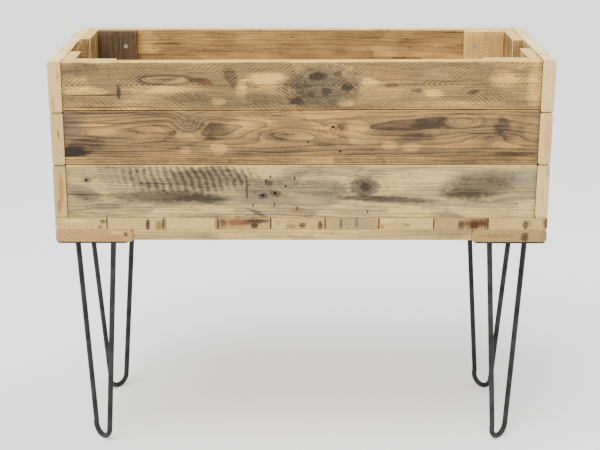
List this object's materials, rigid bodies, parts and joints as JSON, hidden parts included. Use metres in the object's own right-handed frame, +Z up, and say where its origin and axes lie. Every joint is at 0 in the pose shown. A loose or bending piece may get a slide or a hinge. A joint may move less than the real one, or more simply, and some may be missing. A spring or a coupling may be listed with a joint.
{
  "type": "raised trough planter",
  "caption": "Open trough planter of horizontal reclaimed boards, with a slatted floor, upright cleats in its corners and a bent steel rod leg under each corner.",
  "frame": {"origin": "on the ground under the middle of the trough", "axes": "+X along the trough to its right-hand end as seen from the front, +Y from the front to the back, +Z up"},
  "size_m": [0.88, 0.35, 0.7485],
  "materials": {
    "pallet_pine": "bare reclaimed softwood with saw marks, knots, stains and worn edges",
    "pale_pine": "bare softwood, freshly sawn and paler than the old boards",
    "weathered_pine": "old brown weathered softwood, rough sawn",
    "raw_steel": "bare hot-rolled round bar and plate with dark mill scale",
    "zinc_steel": "bright zinc plating"
  },
  "bodies": {
    "root": {"back_board_bottom": "pallet_pine", "back_board_middle": "pallet_pine", "back_board_top": "pallet_pine", "back_rail": "pallet_pine", "bearer_left": "pallet_pine", "bearer_right": "pallet_pine", "bearer_screws": "zinc_steel", "cleat_screws": "zinc_steel", "end_wall_cleat_back_left": "pallet_pine", "end_wall_cleat_back_right": "pallet_pine", "end_wall_cleat_front_left": "pallet_pine", "end_wall_cleat_front_right": "pallet_pine", "floor_board_1": "pallet_pine", "floor_board_2": "pallet_pine", "floor_board_3": "pallet_pine", "floor_board_4": "pallet_pine", "floor_board_5": "pallet_pine", "floor_board_6": "pallet_pine", "floor_board_7": "pallet_pine", "floor_board_8": "pallet_pine", "floor_board_9": "pallet_pine", "floor_nails": "zinc_steel", "front_board_bottom": "pallet_pine", "front_board_middle": "pallet_pine", "front_board_top": "pallet_pine", "front_filler_strip": "pale_pine", "front_rail": "pallet_pine", "left_board_bottom": "pallet_pine", "left_board_middle": "pallet_pine", "left_board_top": "pallet_pine", "leg_plate_back_left": "raw_steel", "leg_plate_back_right": "raw_steel", "leg_plate_front_left": "raw_steel", "leg_plate_front_right": "raw_steel", "leg_rod_back_left": "raw_steel", "leg_rod_back_right": "raw_steel", "leg_rod_front_left": "raw_steel", "leg_rod_front_right": "raw_steel", "leg_screws": "zinc_steel", "leg_weld_back_left": "raw_steel", "leg_weld_back_right": "raw_steel", "leg_weld_front_left": "raw_steel", "leg_weld_front_right": "raw_steel", "long_wall_cleat_back_left": "weathered_pine", "long_wall_cleat_back_right": "pale_pine", "long_wall_cleat_front_left": "pallet_pine", "long_wall_cleat_front_right": "pallet_pine", "rail_screws": "zinc_steel", "right_board_bottom": "pallet_pine", "right_board_middle": "pallet_pine", "right_board_top": "pallet_pine"}
  },
  "joints": []
}
